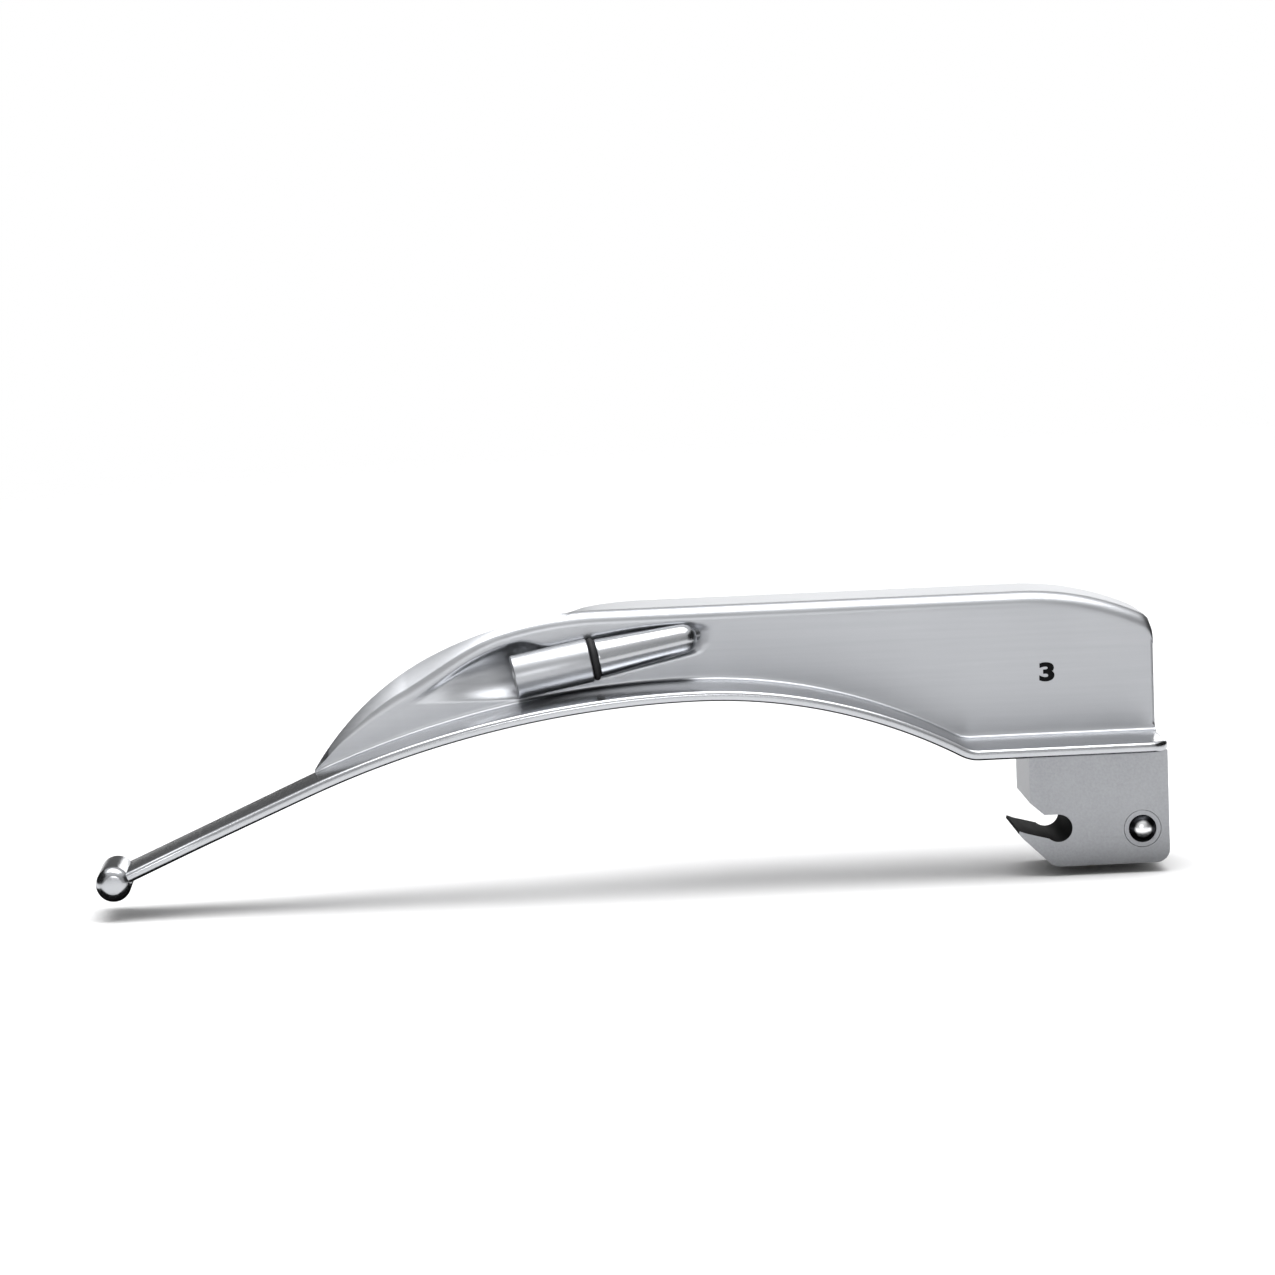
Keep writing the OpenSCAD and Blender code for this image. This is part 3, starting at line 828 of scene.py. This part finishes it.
class Pattern:
    """Adds nodes to a material's tree, or to the world's."""

    def __init__(self, tree):
        self.tree = tree

    def connect(self, socket, value):
        if isinstance(value, Wire):
            self.tree.links.new(value.socket, socket)
        else:
            socket.default_value = value

    def node(self, kind, settings, sockets, output=0):
        made = self.tree.nodes.new("ShaderNode" + kind)
        for key, value in settings.items():
            setattr(made, key, value)
        for key, value in sockets.items():
            self.connect(made.inputs[key], value)
        return Wire(self, made.outputs[output])

    def place(self, scale=(1, 1, 1)):
        """Object coordinates, stretched: a big number makes the marks narrow that way."""
        where = self.node("TexCoord", {}, {}, "Object")
        return self.node("VectorMath", {"operation": "MULTIPLY"}, {0: where, 1: scale})

    def noise(self, scale, stretch=(1, 1, 1), detail=3.0, roughness=0.5):
        where = self.place(stretch)
        settings = {"Vector": where, "Scale": scale, "Detail": detail, "Roughness": roughness}
        return self.node("TexNoise", {}, settings)

    def length(self, vector):
        return self.node("VectorMath", {"operation": "LENGTH"}, {0: vector}, "Value")

    def between(self, value, low, high):
        """0 at low, 1 at high and a smooth change between. Low may be the greater of the two."""
        limits = {"Value": value, "From Min": low, "From Max": high}
        return self.node("MapRange", {"interpolation_type": "SMOOTHSTEP"}, limits)

    def tint(self, amount, dark, light):
        ends = {"Factor": amount, 6: (*dark, 1), 7: (*light, 1)}
        return self.node("Mix", {"data_type": "RGBA"}, ends, 2)


class Finish(Pattern):
    """A material, with its pattern connected to the shader."""

    def __init__(self, name, **fixed):
        self.material = bpy.data.materials.new(name)
        self.material.use_nodes = True
        super().__init__(self.material.node_tree)
        self.shader = self.tree.nodes["Principled BSDF"]
        for socket, value in fixed.items():
            self.shader.inputs[socket.replace("_", " ")].default_value = value

    def bump(self, height, distance_mm, strength=1.0):
        grain = {"Height": height, "Distance": distance_mm * MM, "Strength": strength}
        self.connect(self.shader.inputs["Normal"], self.node("Bump", {}, grain))

    def feed(self, **wires):
        for socket, wire in wires.items():
            self.connect(self.shader.inputs[socket.replace("_", " ")], wire)

    def follow(self, pattern, dark, light, rough, spread):
        """Colour and roughness that both follow one pattern."""
        self.feed(Base_Color=self.tint(pattern, dark, light), Roughness=rough + spread * pattern)


def wear(finish, *pieces):
    for piece in pieces:
        piece.data.materials.clear()
        piece.data.materials.append(finish.material)


# %% [markdown]
# The polished steel has a little cloudiness left by the buffing wheel, and hairline marks along the
# blade. The marks are noise squeezed across the blade and drawn out along it.

# %% Polished steel
polished = Finish("polished_steel", Metallic=1.0)
cloud = polished.noise(45.0, detail=2.0)
hairlines = polished.noise(900.0, (0.05, 1, 1), detail=2.0)
polished.feed(
    Base_Color=polished.tint(cloud, (0.43, 0.44, 0.46), (0.51, 0.52, 0.54)),
    Roughness=0.15 + 0.08 * cloud + 0.08 * hairlines,
)
polished.bump(hairlines, 0.012, 0.35)

# %% [markdown]
# The satin finish is made by a fine abrasive belt run along the blade. Two sizes of streak are
# mixed, long faint ones and short sharp ones, over a slow change in tone.

# %% Satin steel
satin = Finish("satin_steel", Metallic=1.0)
tone = satin.noise(24.0, detail=3.0)
streaks = satin.noise(1500.0, (0.03, 1, 1), detail=3.0, roughness=0.6)
grit = satin.noise(2600.0, (0.35, 1, 1), detail=1.0)
satin.feed(
    Base_Color=satin.tint(0.7 * tone + 0.3 * streaks, (0.33, 0.34, 0.36), (0.56, 0.57, 0.59)),
    Roughness=0.27 + 0.10 * tone + 0.12 * streaks,
)
satin.bump(0.6 * streaks + 0.4 * grit, 0.02, 0.45)

# %% [markdown]
# The heel and the rings are bead blasted, which leaves small even pits in every direction.

# %% Blasted steel
blasted = Finish("blasted_steel", Metallic=1.0)
patch = blasted.noise(140.0, detail=3.0)
pits = blasted.noise(3300.0, detail=1.5, roughness=0.6)
blasted.feed(
    Base_Color=blasted.tint(0.5 * patch + 0.5 * pits, (0.24, 0.245, 0.26), (0.46, 0.47, 0.49)),
    Roughness=0.34 + 0.12 * patch + 0.10 * pits,
)
blasted.bump(pits, 0.03, 0.6)

# %% [markdown]
# The small parts have plainer finishes, but each still has its own grain: nickel on the contacts,
# drawn lines on the wires, moulded rubber and plastic, cement, and two kinds of glass.

# %% Small finishes
nickel = Finish("nickel_brass", Metallic=1.0)
haze = nickel.noise(700.0, detail=2.0)
nickel.follow(haze, (0.66, 0.62, 0.50), (0.80, 0.77, 0.66), 0.16, 0.12)
nickel.bump(haze, 0.01, 0.3)

spring_wire = Finish("spring_wire", Metallic=1.0)
drawn = spring_wire.noise(1200.0, detail=2.0)
spring_wire.follow(drawn, (0.42, 0.43, 0.45), (0.60, 0.61, 0.62), 0.22, 0.16)

copper = Finish("copper_wire", Metallic=1.0)
dull = copper.noise(900.0, detail=2.0)
copper.follow(dull, (0.60, 0.30, 0.18), (0.80, 0.46, 0.30), 0.25, 0.15)

rubber = Finish("black_rubber", Specular_IOR_Level=0.35)
bloom = rubber.noise(1400.0, detail=3.0)
rubber.follow(bloom, (0.006, 0.006, 0.007), (0.022, 0.022, 0.024), 0.55, 0.2)
rubber.bump(bloom, 0.02, 0.4)

black_plastic = Finish("black_plastic")
moulded = black_plastic.noise(1800.0, detail=2.0)
black_plastic.follow(moulded, (0.012, 0.012, 0.014), (0.035, 0.035, 0.038), 0.35, 0.15)
black_plastic.bump(moulded, 0.01, 0.3)

white_plastic = Finish("white_plastic", Subsurface_Weight=0.08)
milky = white_plastic.noise(600.0, detail=2.0)
white_plastic.follow(milky, (0.70, 0.69, 0.65), (0.82, 0.81, 0.78), 0.38, 0.12)

cement = Finish("lamp_cement")
grains = cement.noise(3000.0, detail=4.0, roughness=0.7)
cement.follow(grains, (0.52, 0.48, 0.38), (0.80, 0.77, 0.68), 0.75, 0.2)
cement.bump(grains, 0.04, 0.6)

clear_glass = Finish("clear_glass", Transmission_Weight=1.0, IOR=1.5)
seeds = clear_glass.noise(500.0, detail=1.0)
clear_glass.follow(seeds, (0.93, 0.96, 0.98), (1.0, 1.0, 1.0), 0.02, 0.03)

blue_glass = Finish("blue_glass", Transmission_Weight=0.6, IOR=1.5)
swirl = blue_glass.noise(800.0, detail=2.0)
blue_glass.follow(swirl, (0.30, 0.46, 0.52), (0.50, 0.66, 0.72), 0.05, 0.08)

tungsten = Finish("tungsten", Metallic=1.0)
sooty = tungsten.noise(2500.0, detail=2.0)
tungsten.follow(sooty, (0.22, 0.22, 0.24), (0.42, 0.42, 0.44), 0.3, 0.2)

mark_ink = Finish("mark_ink", Specular_IOR_Level=0.08)
fleck = mark_ink.noise(3000.0, detail=3.0)
mark_ink.follow(fleck, (0.002, 0.002, 0.002), (0.009, 0.009, 0.010), 0.6, 0.25)

# %% [markdown]
# Two finishes depend on where they are, and both are painted light. Each ball is painted nearly black as
# its dark reflection, with a painted white highlight on its crown. The walls of the slot are painted black
# as the shade inside the slot, and the cutter's marks run across them.

# %% Ball and slot finishes, with painted highlight and painted shade
ball_painted_glint = Finish("hardened_ball", Metallic=1.0)
shade = ball_painted_glint.noise(500.0, detail=2.0)
# Painted highlight: a bright disc on each ball's crown, where it faces out, stands in for the reflected
# light. The rest of the ball is painted nearly black as its dark reflection.
aside = ball_painted_glint.node("VectorMath", {"operation": "SUBTRACT"}, {0: ball_painted_glint.place(), 1: mm(*BALL)})
aside = ball_painted_glint.node("VectorMath", {"operation": "MULTIPLY"}, {0: aside, 1: (1, 0, 1)})
painted_highlight_mask = ball_painted_glint.between(ball_painted_glint.length(aside), 1.15 * MM, 0.8 * MM)
ball_painted_glint.feed(
    Base_Color=ball_painted_glint.tint(painted_highlight_mask, (0.03, 0.031, 0.035), (0.90, 0.91, 0.92)),
    Roughness=0.24 + 0.08 * shade,
)

# Painted shade: the slot's walls are painted near black where shade falls in the slot. The cutter's marks
# are real grain.
slot_shade = Finish("milled_slot", Specular_IOR_Level=0.04)
cutter = slot_shade.noise(1600.0, (1, 0.08, 1), detail=2.0)
slot_shade.follow(cutter, (0.006, 0.006, 0.007), (0.022, 0.022, 0.024), 0.6, 0.2)
slot_shade.bump(cutter, 0.02, 0.4)

# %% Dress the pieces
made = {o.name: o for o in bpy.data.objects if o.type == "MESH"}


def dress(finish, *names):
    for name in names:
        wear(finish, made[name])


dress(polished, "tongue_plate", "tip_bar", "socket_tube")
# The balls wear the painted highlight and the painted dark reflection.
dress(ball_painted_glint, "ball_near", "ball_far")
dress(satin, "pressed_sheet", "lamp_sleeve", "conduit")
dress(blasted, "hook_heel", "staked_ring_near", "staked_ring_far")
dress(nickel, "contact_dome", "lamp_tip", "socket_contact")
# The slot walls wear the painted shade.
heel.data.materials.append(slot_shade.material)
for index in shaded_slot_walls:
    heel.data.polygons[index].material_index = 1
dress(rubber, "rubber_seal")
dress(black_plastic, "contact_bush", "lamp_insulator")
dress(white_plastic, "lead_insulation", "socket_insulator")
dress(copper, "lead_conductor", "lamp_feed_wire")
dress(spring_wire, "spring_half_near", "spring_half_far", "lamp_supports")
dress(cement, "lamp_cement")
dress(clear_glass, "lamp_glass")
dress(blue_glass, "lamp_bead")
dress(tungsten, "lamp_filament")
dress(mark_ink, "size_mark")
print("finishes:", ", ".join(m.name for m in bpy.data.materials if m.users))


# %% [markdown]
# ## The studio
#
# Metal shows its surroundings, so the light is chosen for what each surface mirrors. The fold and
# the rounded rim look up, and a large soft light over the blade makes them the brightest lines.
# The web looks down and forwards, at the pale floor. The tops of the plate and the flange mirror
# what is behind, where a second light stands to the right and the left is left dim.
#
# The floor fades out towards its rim, so that it meets the white page without a line.

# %% Floor
deselect()
FLOOR_R, JUST_BELOW = 0.7, 0.00002
under_blade = (0, 0, cad_low[2] - JUST_BELOW)
bpy.ops.mesh.primitive_circle_add(vertices=96, radius=FLOOR_R, fill_type="NGON", location=under_blade)
floor = bpy.context.object
floor.name = "floor"
settle(floor)
paper = Finish("floor_paper", Specular_IOR_Level=0.1)
fibre = paper.noise(60.0, detail=3.0)
paper.feed(
    Base_Color=paper.tint(fibre, (0.86, 0.86, 0.865), (0.89, 0.89, 0.89)),
    Roughness=0.75 + 0.1 * fibre,
    Alpha=paper.between(paper.length(paper.place()), FLOOR_R - 0.01, 0.4),
)
wear(paper, floor)
floor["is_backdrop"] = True


# %% Lights
def softbox(name, place, target, width, height, radiance):
    bpy.ops.object.light_add(type="AREA", location=place)
    box = bpy.context.object
    box.name = box.data.name = name
    box.data.shape = "RECTANGLE"
    box.data.size, box.data.size_y = width, height
    box.data.energy = radiance * math.pi * width * height
    box.rotation_euler = (Vector(target) - Vector(place)).to_track_quat("-Z", "Y").to_euler()
    box.visible_camera = False
    return box


softbox("overhead", (-0.06, -0.02, 0.75), (-0.05, 0, 0), 0.8, 0.55, 4.8)
softbox("behind_right", (0.36, 1.0, 0.24), (-0.02, 0, 0.02), 0.86, 0.3, 2.4)
softbox("front", (-0.10, -1.0, 0.24), (-0.05, 0, 0.01), 0.26, 0.18, 7.0)

# %% [markdown]
# Polished edges need something dark to mirror as well, or they melt into a white page. In a studio,
# black cards are held just out of shot. Here one lies under the blade, and one stands at each side.
# Only reflections can see them: the camera can't, and they cast no shadow.

# %% Black cards
felt = Finish("card_felt", Roughness=0.9, Specular_IOR_Level=0.0)
nap = felt.noise(900.0, detail=2.0)
felt.feed(Base_Color=felt.tint(nap, (0.004, 0.004, 0.004), (0.012, 0.012, 0.012)))
CARDS = {
    "card_under": ((-0.054, 0.003, cad_low[2] + 0.0003), (0.15, 0.034), 0),
    "card_right": ((0.16, 0.05, 0.09), (0.22, 0.5), 90),
    "card_left": ((-0.27, 0.05, 0.09), (0.22, 0.5), 90),
}
for name, (place, size, turn) in CARDS.items():
    deselect()
    bpy.ops.mesh.primitive_grid_add(x_subdivisions=4, y_subdivisions=4, size=1, location=place)
    card = bpy.context.object
    card.name = name
    card.scale = (*size, 1)
    card.rotation_euler.y = math.radians(turn)
    settle(card)
    wear(felt, card)
    card.visible_camera = card.visible_diffuse = card.visible_shadow = card.visible_transmission = False
    card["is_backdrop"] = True

# %% [markdown]
# The page behind the blade is white, but steel that mirrored white on all sides would have no shape.
# So the world is white to the camera only. Reflections see a dim surround, brighter in front of the
# blade and brightest overhead.

# %% World
studio = bpy.data.worlds.new("studio")
bpy.context.scene.world = studio
studio.use_nodes = True
sky = Pattern(studio.node_tree)
background = sky.tree.nodes["Background"]
way = sky.node("TexCoord", {}, {}, "Generated")
axes = sky.tree.nodes.new("ShaderNodeSeparateXYZ")
sky.connect(axes.inputs[0], way)
back, up = Wire(sky, axes.outputs["Y"]), Wire(sky, axes.outputs["Z"])
high_up = sky.between(up, 0.25, 0.8)
before = 1 - sky.between(back, -0.8, -0.2)
surround = 0.10 + 0.75 * high_up + 0.30 * before * (1 - high_up)
seen = sky.node("LightPath", {}, {}, "Is Camera Ray")
sky.connect(background.inputs["Strength"], seen + surround * (1 - seen))
background.inputs["Color"].default_value = (1, 1, 1, 1)

# %% [markdown]
# The camera looks at the blade's near side through a long lens, from a little above. The plain view
# transform is used, so that the white page stays white.

# %% Camera
camera = bpy.data.objects.new("camera", bpy.data.cameras.new("camera"))
bpy.context.scene.collection.objects.link(camera)
camera.data.lens, camera.data.sensor_width = 127.03, 36
camera.data.clip_start = 0.01
right = (0.998113, -0.046728, -0.039833)
above = (0.045196, 0.119984, 0.991747)
backwards = (-0.041564, -0.991676, 0.121869)
facing = Matrix((right, above, backwards)).transposed().to_4x4()
camera.matrix_world = Matrix.Translation((-0.0730516, -0.5454215, 0.0920249)) @ facing
bpy.context.scene.camera = camera
bpy.context.scene.view_settings.view_transform = "Standard"

# %% Measure and finish
bounds = [[list(map(float, corner)) for corner in pair] for pair in ((cad_low, cad_high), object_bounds())]
for label, (low, high) in zip(("measured model", "finished model"), bounds):
    print(label, [round(v / MM, 2) for v in low], [round(v / MM, 2) for v in high])
